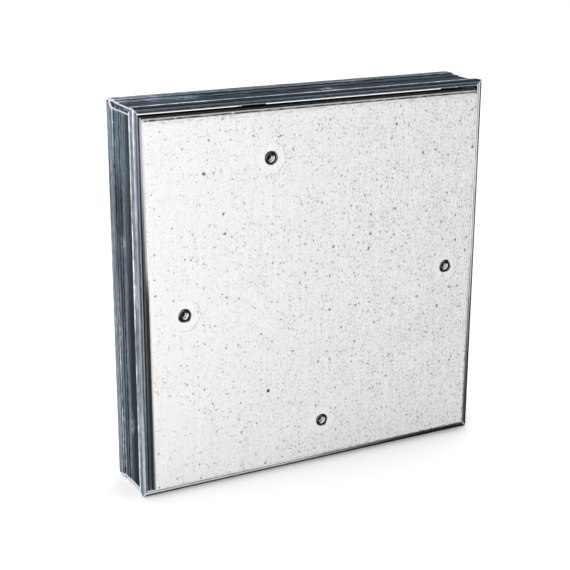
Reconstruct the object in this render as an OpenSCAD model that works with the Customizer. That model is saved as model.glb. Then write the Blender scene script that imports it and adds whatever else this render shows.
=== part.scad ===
// Tile-in access panel: a mitred aluminium frame holds a door leaf of gypsum fibre board in thin
// aluminium edging. Four magnet catches hold the leaf, which pulls straight out to the front.
// +X runs right, +Y into the wall and +Z up. The origin is the centre of the panel's underside.

/* [Frame] */
// Outside width of the frame
frame_w = 300; // [220:10:600]
// Outside height of the frame
frame_h = 300; // [220:10:600]
// Depth of the frame, front face to rear edge
frame_depth = 49; // [46:1:80]
// Width of the narrow front face
lip_w = 4.75; // [4.25:0.25:8]
// Thickness of the front face where it is thinnest
lip_t = 1.6; // [1.2:0.1:2.4]
// How far the inner edge of the front face turns back
lip_return = 3.2; // [2.6:0.1:5]
// Width of the raised bead along the outer edge of the front face
bead_w = 3.1; // [2.6:0.1:3.4]
// Depth of the bead on the outside of the frame
bead_depth = 6.8; // [5:0.2:10]
// Radius of the bead's front corner
bead_r = 1.1; // [0.6:0.1:1.6]
// Radius of the round ridge at the back of the bead
ridge_r = 0.9; // [0.6:0.1:1.2]
// How far the outer wall lies inside the bead
wall_inset = 1.6; // [1.1:0.1:2.2]
// Thickness of the frame's walls
wall_t = 1.5; // [1.2:0.1:2.2]
// Depth of the raised band at the rear
band_depth = 10.6; // [8:0.2:14]
// Width of the lower strip in front of the rear band
strip_depth = 8.9; // [6:0.1:11]
// How far that strip stands out from the outer wall
strip_rise = 0.6; // [0.3:0.1:0.9]
// Width of the fine grooves on each side of the strip
groove_w = 0.9; // [0.5:0.1:1.4]
// Depth of those grooves
groove_deep = 0.5; // [0.3:0.1:0.8]
// Width of the lip that turns inwards at the rear edge
rear_lip_w = 6.4; // [3.6:0.2:8]

/* [Corner joints] */
// Radius to which the frame's outer corners are filed
corner_r = 2.5; // [1:0.5:4]
// Clear width of the chamber that holds the corner keys
chamber_w = 4.6; // [3.6:0.2:7]
// Clear depth of that chamber
chamber_depth = 15.4; // [12:0.2:18]
// Thickness of the chamber's inner wall and front web
chamber_t = 1.2; // [1:0.1:2]
// Length of each leg of a corner key
key_leg = 34; // [24:1:60]
// Play between a corner key and its chamber, each side
key_play = 0.15; // [0.05:0.05:0.3]
// How far the upright rails' outer walls are cut back at the upper corners
cope_upper = 6; // [2:0.5:9]
// How far the top rail's outer wall is cut back at its two ends
cope_top = 2; // [1.5:0.5:9]
// How far the outer walls are cut back at the two lower corners
cope_lower = 2.5; // [1.5:0.5:9]

/* [Door leaf] */
// Gap between the front face and the door edging, with the leaf in the middle
door_gap = 1.35; // [0.6:0.05:2]
// Gap that is left below the leaf, which has sunk in its frame
hang_gap = 0.3; // [0.2:0.05:0.6]
// Thickness of the edging's side wall
edging_t = 1.2; // [1:0.1:2.5]
// Width of the edging's rear flange, measured from its outer side
flange_w = 9; // [7:0.5:12]
// Thickness of the rear flange
flange_t = 1.6; // [1.2:0.1:2.5]
// Setback of the edging's front edge behind the frame's front face
edging_back = 0.3; // [0:0.1:1]
// Thickness of the gypsum fibre board
board_t = 12.5; // [12:0.5:15]
// How far the board stands out in front of the frame
board_proud = 4; // [1:0.5:5]
// Glue joint between the board and the edging
glue_gap = 0.2; // [0.1:0.1:0.5]
// Worn bevel round the board's front edge
board_bevel = 0.7; // [0.3:0.1:1.5]
// Length of each leg of the flat corner plates
plate_leg = 30; // [24:1:45]
// Width of the corner plates' legs
plate_w = 8; // [7:0.5:10]
// Thickness of the corner plates
plate_t = 1.5; // [1:0.1:2]
// Diameter of the blind rivets
rivet_d = 3.2; // [2.4:0.1:4]

/* [Catch screws] */
// Diameter of the board screws
screw_d = 6; // [4:0.5:6]
// Diameter of their round heads
head_d = 10; // [8:0.5:10.5]
// Height of their heads
head_h = 6; // [4:0.5:6.5]
// Width of the hexagon socket across its flats
hex_af = 5; // [3:0.5:5]
// Depth of the hexagon socket
hex_deep = 3.2; // [2:0.2:3.6]
// Diameter of the recess bored in the board for a head
recess_d = 11; // [10.6:0.2:14]
// Depth of the head's top below the board's face
head_sink = 0.8; // [0:0.1:1.5]
// Play of a screw in its hole through the board, each side
screw_play = 0.3; // [0.1:0.1:0.6]
// Distance of the top screw from the board's top edge
inset_top = 36.5; // [28:0.5:50]
// Distance of the right screw from the board's right edge
inset_right = 24.5; // [24:0.5:50]
// Distance of the bottom screw from the board's bottom edge
inset_bottom = 29.5; // [24:0.5:50]
// Distance of the left screw from the board's left edge
inset_left = 28.5; // [24:0.5:50]
// Place of the top screw, left of the centre line
along_top = 42; // [0:1:60]
// Place of the right screw, above the board's centre
along_right = 0.8; // [0:0.2:40]
// Place of the bottom screw, right of the centre line
along_bottom = 4; // [0:0.1:40]
// Place of the left screw, below the board's centre
along_left = 6.2; // [0:0.2:40]

/* [Magnet catches] */
// Diameter of the steel keeper discs behind the board
disc_d = 20; // [16:1:24]
// Thickness of the keeper discs
disc_t = 8; // [7:0.5:10]
// Length of screw thread inside a keeper disc
thread_in = 5.6; // [4:0.2:6]
// Gap between a keeper disc and its magnet with the leaf in place
pull_gap = 0.3; // [0.1:0.1:0.6]
// Diameter of the steel magnet cups
cup_d = 18; // [17:1:22]
// Height of the magnet cups
cup_h = 6; // [5:0.5:7]
// Wall and floor thickness of the magnet cups
cup_t = 1.5; // [1.2:0.1:2]
// Play between a ring magnet and its cup, each side
ring_play = 0.1; // [0.05:0.05:0.3]
// Width of the catch brackets
bracket_w = 20; // [18:1:30]
// Thickness of the bracket steel
bracket_t = 2; // [1.5:0.5:3]
// Inside radius of the bracket's bend
bend_r = 1.5; // [1:0.5:2.5]
// Diameter of the small screws that hold the magnets
pin_d = 4; // [3:0.5:4]

/* [Hidden] */
$fn = 48;

// The four sides and the four corners, counted anticlockwise as seen from the front
BOTTOM = 0;
RIGHT = 1;
TOP = 2;
LEFT = 3;
SIDES = [BOTTOM, RIGHT, TOP, LEFT];
side_length = [frame_w, frame_h, frame_w, frame_h];
cope_start = [cope_lower, cope_lower, cope_top, cope_upper];
cope_end = [cope_lower, cope_upper, cope_top, cope_lower];

// Depths are counted from the frame's front face, which lies here in the part's own frame
y_front = -(frame_depth - board_proud) / 2;
// A margin by which cutting shapes run past what they cut
over = 1;

// Rail section: places across it, from the outer side inwards, and along its depth
skin_in = wall_inset + wall_t;
bead_side = wall_inset / 4;
chamber_in = skin_in + chamber_w;
rail_in = chamber_in + chamber_t;
lip_set = 0.25;
lip_edge = 1;
band_y = frame_depth - band_depth;
strip_y = band_y - strip_depth;
chamber_rear = band_y;
chamber_front = chamber_rear - chamber_depth;
jog_t = wall_t;
band_r = 0.5;
vee_w = 0.6;
vee_deep = 0.7;

// The cuts that open the frame's corners start behind the lip and run out in a curve near the rear
cope_front = lip_t + 0.4;
cope_bend = band_y - 2;
cope_rear = frame_depth - 4;
cope_steps = 8;
corner_steps = 6;

// Door leaf: places across it are counted from the frame's outer side too. They are those of a
// leaf in the middle of its frame, and the whole leaf is then drawn lower by its drop.
leaf_drop = door_gap - hang_gap;
edging_out = lip_w + door_gap;
edging_in = edging_out + edging_t;
board_out = edging_in + glue_gap;
board_w = frame_w - 2 * board_out;
board_h = frame_h - 2 * board_out;
board_back = board_t - board_proud;
flange_back = board_back + flange_t;
plate_set = 0.6;
plate_out = edging_out + plate_set;
plate_back = flange_back + plate_t;
flange_mid = edging_out + flange_w / 2;

// Catch screws, keeper discs and magnets, all on one axis in the board's hole. Each axis has a
// reach from the frame's outer side and a place along that side.
catch_reach = [
  board_out + inset_bottom - leaf_drop, board_out + inset_right,
  board_out + inset_top + leaf_drop, board_out + inset_left
];
catch_along = [along_bottom, along_right - leaf_drop, along_top, along_left + leaf_drop];
recess_deep = head_sink + head_h;
disc_back = board_back + disc_t;
magnet_face = disc_back + pull_gap;
bracket_y = magnet_face + cup_h;
plate_rear = bracket_y + bracket_t;
thread_play = 0.05;
tip_room = 0.6;
tip_bevel = 0.6;
head_bevel = 0.7;
head_join = 0.5;
drill_cone = 0.3 * hex_af;
disc_bevel = 0.6;
ring_low = 0.4;
ring_room = 1;
pin_head_d = 1.75 * pin_d;
pin_head_h = 0.6 * pin_d;
pin_slot = 0.2 * pin_d;
pin_play = 0.25;
nut_af = 1.75 * pin_d;
nut_h = 0.8 * pin_d;
nut_bevel = 0.5;
pin_tail = 1;
ring_bore = pin_head_d + 2 * ring_room;

// Blind rivets
rivet_play = 0.05;
rivet_head_d = 2 * rivet_d;
rivet_head_h = 0.35 * rivet_d;
rivet_bulb_d = 1.4 * rivet_d;
rivet_bulb_h = 2;
rivet_pitch = 10;
rivet_edge = 1;
rivet_sink = 0.1;
rivet_y = (chamber_front + chamber_rear) / 2;
foot_set = 0.5;

// Corner key
key_out = skin_in + key_play;
key_in = chamber_in - key_play;
key_front = chamber_front + key_play;
key_rear = chamber_rear - key_play;
key_bevel = 1;
notch_pitch = 5;
notch_deep = 0.6;
notch_w = 1.4;
notch_count = 3;

// Everything is drawn with its depth counted from the frame's front face
module set_back() {
  translate([0, y_front, 0]) children();
}

// Puts what belongs to the leaf where the sunken leaf lies
module lowered() {
  translate([0, 0, -leaf_drop]) children();
}

// Turns a shape drawn along the bottom side, outer face on the floor, to another side
module on_side(side) {
  if (side == BOTTOM) children();
  if (side == RIGHT) translate([frame_w / 2, 0, frame_h / 2]) rotate([0, -90, 0]) children();
  if (side == TOP) translate([0, 0, frame_h]) rotate([0, 180, 0]) children();
  if (side == LEFT) translate([-frame_w / 2, 0, frame_h / 2]) rotate([0, 90, 0]) children();
}

// Turns a shape drawn in the bottom left corner, legs along +X and +Z, to another corner.
// The corners are numbered by the side that starts there.
module in_corner(corner) {
  x = frame_w / 2;
  if (corner == BOTTOM) translate([-x, 0, 0]) children();
  if (corner == RIGHT) translate([x, 0, 0]) rotate([0, -90, 0]) children();
  if (corner == TOP) translate([x, 0, frame_h]) rotate([0, 180, 0]) children();
  if (corner == LEFT) translate([-x, 0, frame_h]) rotate([0, 90, 0]) children();
}

// Puts a shape drawn round the Y axis on the catch axis of a side
module on_catch(side) {
  on_side(side) translate([catch_along[side], 0, catch_reach[side]]) children();
}

// A round bar along Y between two depths
module bar(d, from, to) {
  translate([0, from, 0]) rotate([-90, 0, 0]) cylinder(d = d, h = to - from);
}

// A turned shape along Y: points are [radius, depth]
module turned(points) {
  rotate([-90, 0, 0]) rotate_extrude() polygon(points);
}

// A straight length along X with the given section: across it is +Z, its depth is +Y
module straight(length) {
  rotate([0, -90, 0]) linear_extrude(height = length, center = true) children();
}

// Cuts both ends of a straight length at 45 degrees, its long side outwards
module mitred(length, start, reach) {
  outer = length / 2 - start;
  inner = length / 2 - reach;
  intersection() {
    children();
    translate([0, frame_depth + over, 0]) rotate([90, 0, 0])
      linear_extrude(height = frame_depth + 2 * over + board_proud)
        polygon([[-outer, start], [outer, start], [inner, reach], [-inner, reach]]);
  }
}

// Rounds off the frame's two outer corners at the ends of a straight length
module filed(length) {
  middle = length / 2 - corner_r;
  intersection() {
    children();
    translate([0, frame_depth + over, 0]) rotate([90, 0, 0])
      linear_extrude(height = frame_depth + 2 * over)
        polygon([
          for (step = [0 : corner_steps]) let(a = 90 * step / corner_steps)
            [-middle - corner_r * cos(a), corner_r - corner_r * sin(a)],
          for (step = [0 : corner_steps]) let(a = 90 * step / corner_steps)
            [middle + corner_r * sin(a), corner_r - corner_r * cos(a)],
          [length / 2, rail_in + over], [-length / 2, rail_in + over]
        ]);
  }
}

// Section of the frame rail: bead and lip in front, grooved wall, rear band, key chamber inside
module rail_section() {
  difference() {
    union() {
      // front bead with its rounded outer corner
      translate([bead_side + bead_r, 0]) square([bead_w - bead_side - bead_r, bead_depth]);
      translate([bead_side, bead_r]) square([bead_w - bead_side, bead_depth - bead_r]);
      translate([bead_side + bead_r, bead_r]) circle(r = bead_r);
      // round ridge at the back of the bead, which stands out furthest
      translate([ridge_r, bead_depth - ridge_r]) circle(r = ridge_r);
      // thin lip beside the bead, with its edge turned back
      translate([bead_w - over, lip_set]) square([lip_w - bead_w + over, lip_t - lip_set]);
      translate([lip_w - lip_edge, lip_set]) square([lip_edge, lip_return - lip_set]);
      // outer wall, the raised strip and the rear band
      translate([wall_inset, bead_depth - ridge_r])
        square([wall_t, frame_depth - bead_depth + ridge_r - jog_t]);
      translate([wall_inset - strip_rise, strip_y])
        square([strip_rise + wall_t, strip_depth + over]);
      translate([0, band_y + band_r]) square([wall_t, band_depth - band_r]);
      translate([band_r, band_y]) square([skin_in - band_r, jog_t]);
      translate([band_r, band_y + band_r]) circle(r = band_r);
      // lip turned inwards at the rear edge
      translate([0, frame_depth - wall_t]) square([rear_lip_w, wall_t]);
      // chamber for the corner keys
      translate([wall_inset, chamber_front - chamber_t])
        square([rail_in - wall_inset, chamber_depth + chamber_t + jog_t]);
    }
    // clear space of the chamber
    translate([skin_in, chamber_front]) square([chamber_w, chamber_depth]);
    // the band's skin is a jog outwards, hollow behind
    translate([wall_t, band_y + jog_t])
      square([skin_in + over, band_depth - jog_t - wall_t]);
    // V groove between bead and lip
    polygon([
      [bead_w, -over], [bead_w, 0], [bead_w + vee_w / 3, vee_deep],
      [bead_w + vee_w, lip_set], [bead_w + vee_w, -over]
    ]);
    // fine grooves on each side of the strip
    translate([wall_inset - over, strip_y - groove_w]) square([over + groove_deep, groove_w]);
    translate([wall_inset - strip_rise - over, band_y - groove_w])
      square([over + groove_deep, groove_w]);
  }
}

// The cut that opens a corner: it takes the outer skin off the rail's end behind the front face.
// It is drawn at the rail's right end, seen from outside, and runs out in a curve at the rear.
module cope(length, back) {
  bow = cope_rear - cope_bend;
  translate([length / 2, 0, -over]) linear_extrude(height = skin_in + 2 * over)
    polygon([
      [over, cope_front - over], [0, cope_front], [-back, bead_depth + over],
      for (step = [0 : cope_steps]) let(a = 90 * step / cope_steps)
        [-back * cos(a), cope_bend + bow * sin(a)],
      [over, cope_rear]
    ]);
}

// One mitred length of the frame extrusion with its corner cuts and rivet holes
module frame_rail(side) {
  length = side_length[side];
  color("#76828c") set_back() on_side(side) difference() {
    filed(length) mitred(length, -over, rail_in + over) straight(length + 2 * over) rail_section();
    cope(length, cope_end[side]);
    mirror([1, 0, 0]) cope(length, cope_start[side]);
    for (step = [-1, 1])
      translate([catch_along[side] + step * rivet_pitch / 2, rivet_y, chamber_in - over])
        cylinder(d = rivet_d + 2 * rivet_play, h = chamber_t + 2 * over);
  }
}

// Corner key: an angle of aluminium that fills the chamber round the corner, grooved for crimping
module corner_key(corner) {
  width = key_rear - key_front;
  color("#9aa0a4") set_back() in_corner(corner) difference() {
    translate([0, key_rear, 0]) rotate([90, 0, 0]) linear_extrude(height = width)
      polygon([
        [key_out + key_bevel, key_out], [key_leg, key_out], [key_leg, key_in], [key_in, key_in],
        [key_in, key_leg], [key_out, key_leg], [key_out, key_out + key_bevel]
      ]);
    for (k = [1 : notch_count]) {
      place = key_leg - k * notch_pitch;
      translate([place, key_front - over, key_out - over])
        cube([notch_w, width + 2 * over, over + notch_deep]);
      translate([key_out - over, key_front - over, place])
        cube([over + notch_deep, width + 2 * over, notch_w]);
    }
  }
}

// Door leaf board: its front edges are bevelled, and four stepped holes take the screws
module gypsum_board() {
  back = board_back;
  front = -board_proud;
  color("#e6e5e1") set_back() difference() {
    lowered() intersection() {
      translate([0, 0, frame_h / 2 - board_h / 2]) linear_extrude(height = board_h)
        bevelled(board_w, front, back);
      translate([-board_w / 2, 0, frame_h / 2]) rotate([0, 90, 0]) linear_extrude(height = board_w)
        bevelled(board_h, front, back);
    }
    for (side = SIDES) on_catch(side) {
      bar(recess_d, front - over, front + recess_deep);
      bar(screw_d + 2 * screw_play, front, back + over);
    }
  }
}

// Outline of the board across its width, bevelled at the two front corners
module bevelled(width, front, back) {
  half = width / 2;
  polygon([
    [board_bevel - half, front], [half - board_bevel, front], [half, front + board_bevel],
    [half, back], [-half, back], [-half, front + board_bevel]
  ]);
}

// Door edging: a mitred angle whose flange lies behind the board, drilled for the corner plates
module door_edging(side) {
  length = side_length[side];
  color("#54585c") set_back() lowered() on_side(side) difference() {
    mitred(length, edging_out, edging_out + flange_w) straight(length) {
      translate([edging_out, edging_back]) square([edging_t, flange_back - edging_back]);
      translate([edging_out, board_back]) square([flange_w, flange_t]);
    }
    for (end = [-1, 1], place = rivet_places())
      translate([end * (length / 2 - place), 0, flange_mid])
        bar(rivet_d + 2 * rivet_play, board_back - over, flange_back + over);
  }
}

// Where the rivets of a corner plate's leg lie, measured from the frame's outer corner
function rivet_places() = [
  plate_out + plate_w + rivet_d + rivet_edge,
  plate_out + plate_leg - rivet_d - rivet_edge
];

// Corner plate: a flat steel angle behind two lengths of edging
module corner_plate(corner) {
  far = plate_out + plate_leg;
  near = plate_out + plate_w;
  color("#8f9498") set_back() lowered() in_corner(corner) difference() {
    translate([0, plate_back, 0]) rotate([90, 0, 0]) linear_extrude(height = plate_t)
      polygon([
        [plate_out, plate_out], [far, plate_out], [far, near],
        [near, near], [near, far], [plate_out, far]
      ]);
    plate_holes(rivet_d + 2 * rivet_play);
  }
}

// The rivet holes of one corner plate, two in each leg
module plate_holes(d) {
  for (place = rivet_places()) {
    translate([place, 0, flange_mid]) bar(d, flange_back - over, plate_back + over);
    translate([flange_mid, 0, place]) bar(d, flange_back - over, plate_back + over);
  }
}

// A rivet along Y: its shank ends at one depth, and its domed head sits on a face at the other
module rivet(tip, seat) {
  dome_r = (pow(rivet_head_d / 2, 2) + pow(rivet_head_h, 2)) / (2 * rivet_head_h);
  bar(rivet_d, tip, seat + rivet_head_h / 2);
  intersection() {
    translate([0, seat + rivet_head_h - dome_r, 0]) sphere(r = dome_r);
    bar(rivet_head_d, seat, seat + 2 * rivet_head_h);
  }
}

module corner_plate_rivets() {
  color("#a7abae") set_back() lowered()
    for (corner = SIDES, place = rivet_places()) in_corner(corner) {
      translate([place, 0, flange_mid]) rivet(board_back + rivet_sink, plate_back);
      translate([flange_mid, 0, place]) rivet(board_back + rivet_sink, plate_back);
    }
}

// Board screw: round head with a hexagon socket, sunk in the board, threaded into its keeper disc
module board_screw(side) {
  top = head_sink - board_proud;
  seat = top + head_h;
  r = head_d / 2;
  neck_r = screw_d / 2;
  tip = board_back + thread_in;
  floor_y = top + hex_deep;
  color("#26282a") set_back() on_catch(side) difference() {
    union() {
      turned([[0, top], [r - head_bevel, top], [r, top + head_bevel], [r, seat], [0, seat]]);
      turned([
        [0, seat - head_join], [neck_r, seat - head_join], [neck_r, tip - tip_bevel],
        [neck_r - tip_bevel, tip], [0, tip]
      ]);
    }
    translate([0, top - over, 0]) rotate([-90, 0, 0])
      cylinder(d = hex_af / cos(30), h = hex_deep + over, $fn = 6);
    // the drill's cone below the socket's floor
    turned([
      [0, floor_y - over], [hex_af / 2, floor_y - over],
      [hex_af / 2, floor_y], [0, floor_y + drill_cone]
    ]);
  }
}

// Keeper disc: a turned steel disc with a blind tapped hole, drawn against the board's back
module keeper_disc(side) {
  r = disc_d / 2;
  color("#8b9095") set_back() on_catch(side) difference() {
    turned([
      [0, board_back], [r - disc_bevel, board_back], [r, board_back + disc_bevel],
      [r, disc_back - disc_bevel], [r - disc_bevel, disc_back], [0, disc_back]
    ]);
    bar(screw_d + 2 * thread_play, board_back - over, board_back + thread_in + tip_room);
  }
}

// Magnet cup: a shallow steel pot, open to the front, with a screw hole in its floor
module magnet_cup(side) {
  floor_y = bracket_y - cup_t;
  color("#b4b7ba") set_back() on_catch(side) difference() {
    bar(cup_d, magnet_face, bracket_y);
    bar(cup_d - 2 * cup_t, magnet_face - over, floor_y);
    bar(pin_d + 2 * pin_play, floor_y - over, bracket_y + over);
  }
}

// Ring magnet, glued in its cup a little below the cup's rim
module ring_magnet(side) {
  color("#3a3c3f") set_back() on_catch(side) difference() {
    bar(cup_d - 2 * cup_t - 2 * ring_play, magnet_face + ring_low, bracket_y - cup_t);
    bar(ring_bore, magnet_face, bracket_y);
  }
}

// The small screws that hold the magnets: round heads in the cups, threads through the brackets
module magnet_screws() {
  seat = bracket_y - cup_t;
  color("#a7abae") set_back() for (side = SIDES) on_catch(side) difference() {
    union() {
      bar(pin_head_d, seat - pin_head_h, seat);
      bar(pin_d, seat - head_join, plate_rear + nut_h + pin_tail);
    }
    translate([-pin_head_d, seat - pin_head_h - over, -pin_slot / 2])
      cube([2 * pin_head_d, over + pin_head_h / 2, pin_slot]);
  }
}

// The nuts behind the brackets, turned down to a cone at their corners
module magnet_nuts() {
  corner_r = nut_af / cos(30) / 2;
  nut_rear = plate_rear + nut_h;
  color("#a7abae") set_back() for (side = SIDES) on_catch(side) difference() {
    intersection() {
      translate([0, plate_rear, 0]) rotate([-90, 0, 0])
        cylinder(r = corner_r, h = nut_h, $fn = 6);
      turned([
        [0, plate_rear], [corner_r, plate_rear], [corner_r, nut_rear - nut_bevel],
        [corner_r - 2 * nut_bevel, nut_rear], [0, nut_rear]
      ]);
    }
    bar(pin_d + 2 * thread_play, plate_rear - over, nut_rear + over);
  }
}

// Catch bracket: a bent steel angle riveted to the key chamber, its end rounded round the magnet
module catch_bracket(side) {
  reach = catch_reach[side];
  foot_end = chamber_rear - foot_set;
  color("#9da3a8") set_back() on_side(side) translate([catch_along[side], 0, 0]) difference() {
    intersection() {
      straight(bracket_w) bent_section(reach + bracket_w / 2, foot_end);
      union() {
        translate([-bracket_w / 2, 0, 0]) cube([bracket_w, frame_depth, reach]);
        translate([0, 0, reach]) bar(bracket_w, 0, frame_depth);
      }
    }
    translate([0, 0, reach]) bar(pin_d + 2 * pin_play, bracket_y - over, plate_rear + over);
    for (step = [-1, 1]) translate([step * rivet_pitch / 2, rivet_y, rail_in - over])
      cylinder(d = rivet_d + 2 * rivet_play, h = bracket_t + 2 * over);
  }
}

// Section of the bracket: the plate parallel to the door, a round bend and the riveted foot
module bent_section(far, foot_end) {
  outer_r = bend_r + bracket_t;
  difference() {
    union() {
      translate([rail_in + outer_r, bracket_y]) square([far - rail_in - outer_r, bracket_t]);
      translate([rail_in, bracket_y + outer_r]) square([bracket_t, foot_end - bracket_y - outer_r]);
      translate([rail_in + outer_r, bracket_y + outer_r]) intersection() {
        circle(r = outer_r);
        translate([-outer_r, -outer_r]) square(outer_r);
      }
    }
    translate([rail_in + outer_r, bracket_y + outer_r]) circle(r = bend_r);
  }
}

// Two blind rivets through each bracket's foot and the chamber wall, bulged inside the chamber
module bracket_rivets() {
  seat = rail_in + bracket_t;
  bulb = chamber_in - rivet_bulb_h;
  color("#a7abae") set_back() for (side = SIDES, step = [-1, 1]) on_side(side)
    translate([catch_along[side] + step * rivet_pitch / 2, rivet_y, 0]) {
      rotate([90, 0, 0]) rivet(bulb + rivet_bulb_h / 2, seat);
      translate([0, 0, bulb]) cylinder(d = rivet_bulb_d, h = rivet_bulb_h);
    }
}

frame_rail(BOTTOM);  // frame_rail_bottom
frame_rail(RIGHT);  // frame_rail_right
frame_rail(TOP);  // frame_rail_top
frame_rail(LEFT);  // frame_rail_left
corner_key(BOTTOM);  // corner_key_bottom_left
corner_key(RIGHT);  // corner_key_bottom_right
corner_key(TOP);  // corner_key_top_right
corner_key(LEFT);  // corner_key_top_left
gypsum_board();
door_edging(BOTTOM);  // door_edging_bottom
door_edging(RIGHT);  // door_edging_right
door_edging(TOP);  // door_edging_top
door_edging(LEFT);  // door_edging_left
corner_plate(BOTTOM);  // corner_plate_bottom_left
corner_plate(RIGHT);  // corner_plate_bottom_right
corner_plate(TOP);  // corner_plate_top_right
corner_plate(LEFT);  // corner_plate_top_left
corner_plate_rivets();
board_screw(BOTTOM);  // board_screw_bottom
board_screw(RIGHT);  // board_screw_right
board_screw(TOP);  // board_screw_top
board_screw(LEFT);  // board_screw_left
keeper_disc(BOTTOM);  // keeper_disc_bottom
keeper_disc(RIGHT);  // keeper_disc_right
keeper_disc(TOP);  // keeper_disc_top
keeper_disc(LEFT);  // keeper_disc_left
catch_bracket(BOTTOM);  // catch_bracket_bottom
catch_bracket(RIGHT);  // catch_bracket_right
catch_bracket(TOP);  // catch_bracket_top
catch_bracket(LEFT);  // catch_bracket_left
magnet_cup(BOTTOM);  // magnet_cup_bottom
magnet_cup(RIGHT);  // magnet_cup_right
magnet_cup(TOP);  // magnet_cup_top
magnet_cup(LEFT);  // magnet_cup_left
ring_magnet(BOTTOM);  // ring_magnet_bottom
ring_magnet(RIGHT);  // ring_magnet_right
ring_magnet(TOP);  // ring_magnet_top
ring_magnet(LEFT);  // ring_magnet_left
magnet_screws();
magnet_nuts();
bracket_rivets();
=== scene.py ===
import math

import bpy
from mathutils import Matrix, Vector, noise


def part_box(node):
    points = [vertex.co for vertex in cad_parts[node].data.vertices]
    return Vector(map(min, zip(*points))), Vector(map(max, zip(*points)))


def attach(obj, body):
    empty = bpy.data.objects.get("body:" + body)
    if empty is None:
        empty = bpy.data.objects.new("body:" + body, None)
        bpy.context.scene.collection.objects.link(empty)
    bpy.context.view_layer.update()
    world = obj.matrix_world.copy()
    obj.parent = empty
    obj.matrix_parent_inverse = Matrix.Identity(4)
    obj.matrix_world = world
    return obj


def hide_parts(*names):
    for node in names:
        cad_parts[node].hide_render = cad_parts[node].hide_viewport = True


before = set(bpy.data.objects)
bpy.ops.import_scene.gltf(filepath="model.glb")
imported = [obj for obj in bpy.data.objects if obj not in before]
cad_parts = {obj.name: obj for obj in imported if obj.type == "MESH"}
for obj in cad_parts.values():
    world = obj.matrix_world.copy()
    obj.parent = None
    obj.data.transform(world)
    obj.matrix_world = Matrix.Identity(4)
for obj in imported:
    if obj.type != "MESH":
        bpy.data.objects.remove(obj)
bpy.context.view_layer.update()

# Camera. It stands to the left of the panel and a little above it, as the photograph's did, and looks
# down on it through a long lens.
camera_data = bpy.data.cameras.new("camera")
camera_data.sensor_width = 36
camera_data.lens = 84.37
camera = bpy.data.objects.new("camera", camera_data)
bpy.context.scene.collection.objects.link(camera)
heading = Matrix.Rotation(math.radians(-27.96), 4, "Z")
tilt = Matrix.Rotation(math.radians(72.52), 4, "X")
roll = Matrix.Rotation(math.radians(0.23), 4, "Z")
camera.matrix_world = Matrix.Translation((-0.4886, -0.8905, 0.4627)) @ heading @ tilt @ roll
bpy.context.scene.camera = camera

# Floor and light. The panel stands on a wide pale floor under a very large soft lamp. A small lamp near
# the panel on its left makes that side of it brighter, a weak one stands on the right.
bpy.context.scene.view_settings.view_transform = "Standard"
bpy.ops.object.select_all(action="DESELECT")
bpy.ops.mesh.primitive_circle_add(vertices=64, radius=14, fill_type="NGON")
floor = bpy.context.active_object
floor.name = "floor"
floor_finish = bpy.data.materials.new("floor_paint")
floor_finish.use_nodes = True
floor_shader = floor_finish.node_tree.nodes["Principled BSDF"]
floor_shader.inputs["Base Color"].default_value = (0.88, 0.88, 0.88, 1)
floor_shader.inputs["Roughness"].default_value = 0.9
floor_shader.inputs["Specular IOR Level"].default_value = 0.1
floor_shader.inputs["Emission Color"].default_value = (1, 1, 1, 1)
floor_shader.inputs["Emission Strength"].default_value = 0.16
floor.data.materials.append(floor_finish)

panel_centre = Vector((0, 0, 0.15))
for lamp_name, lamp_place, lamp_size, lamp_power in (
    ("key_lamp", (-0.75, -0.75, 0.5), 0.6, 5.5),
    ("fill_lamp", (1.9, -1.4, 1.1), 1.6, 2),
    ("top_lamp", (0.5, 1.5, 4.5), 6.0, 275),
):
    lamp_data = bpy.data.lights.new(lamp_name, "AREA")
    lamp_data.size = lamp_size
    lamp_data.energy = lamp_power
    lamp = bpy.data.objects.new(lamp_name, lamp_data)
    lamp.location = lamp_place
    lamp.rotation_euler = (panel_centre - lamp.location).to_track_quat("-Z", "Y").to_euler()
    bpy.context.scene.collection.objects.link(lamp)

sky = bpy.data.worlds.new("sky")
sky.use_nodes = True
sky.node_tree.nodes["Background"].inputs["Color"].default_value = (0.97, 0.97, 0.97, 1)
sky.node_tree.nodes["Background"].inputs["Strength"].default_value = 0.35
bpy.context.scene.world = sky


# Frame rails. Four lengths of one aluminium extrusion, left as it came from the die: blue-grey, drawn
# with streaks along its length, bright on its sawn ends and rubbed edges. Their colour also holds painted
# light: painted highlights and painted shade, set apart for each side and lighter near the upper left corner.
def fill(tree, node, inputs):
    """Fills a node's inputs with values or with other nodes' outputs."""
    for socket, value in dict(inputs).items():
        if isinstance(value, bpy.types.NodeSocket):
            tree.links.new(value, node.inputs[socket])
        else:
            node.inputs[socket].default_value = value


def feed(tree, node, **sockets):
    """Fills a node's inputs by their names, written with underscores."""
    fill(tree, node, {name.replace("_", " "): value for name, value in sockets.items()})


def add(tree, kind, inputs=(), **options):
    """Adds a node, sets its options and fills its inputs."""
    made = tree.nodes.new("ShaderNode" + kind)
    for option, value in options.items():
        setattr(made, option, value)
    fill(tree, made, inputs)
    return made


def work_out(tree, operation, *terms):
    """The result of a maths node on up to three values."""
    return add(tree, "Math", enumerate(terms), operation=operation).outputs[0]


def product(tree, value, *others):
    """Values multiplied with each other, such as a mask and its strength."""
    for other in others:
        value = work_out(tree, "MULTIPLY", value, other)
    return value


def strongest(tree, value, *others):
    """The greatest of several values."""
    for other in others:
        value = work_out(tree, "MAXIMUM", value, other)
    return value


def linear(tree, value, gain, start):
    """A value times a gain, plus a start."""
    return work_out(tree, "MULTIPLY_ADD", value, gain, start)


def slope(tree, value, low, high, start=0, end=1, run="LINEAR"):
    """Runs from start at low to end at high and keeps level beyond them."""
    limits = {"From Min": low, "From Max": high, "To Min": start, "To Max": end}
    return add(tree, "MapRange", {"Value": value, **limits}, interpolation_type=run).outputs[0]


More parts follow.
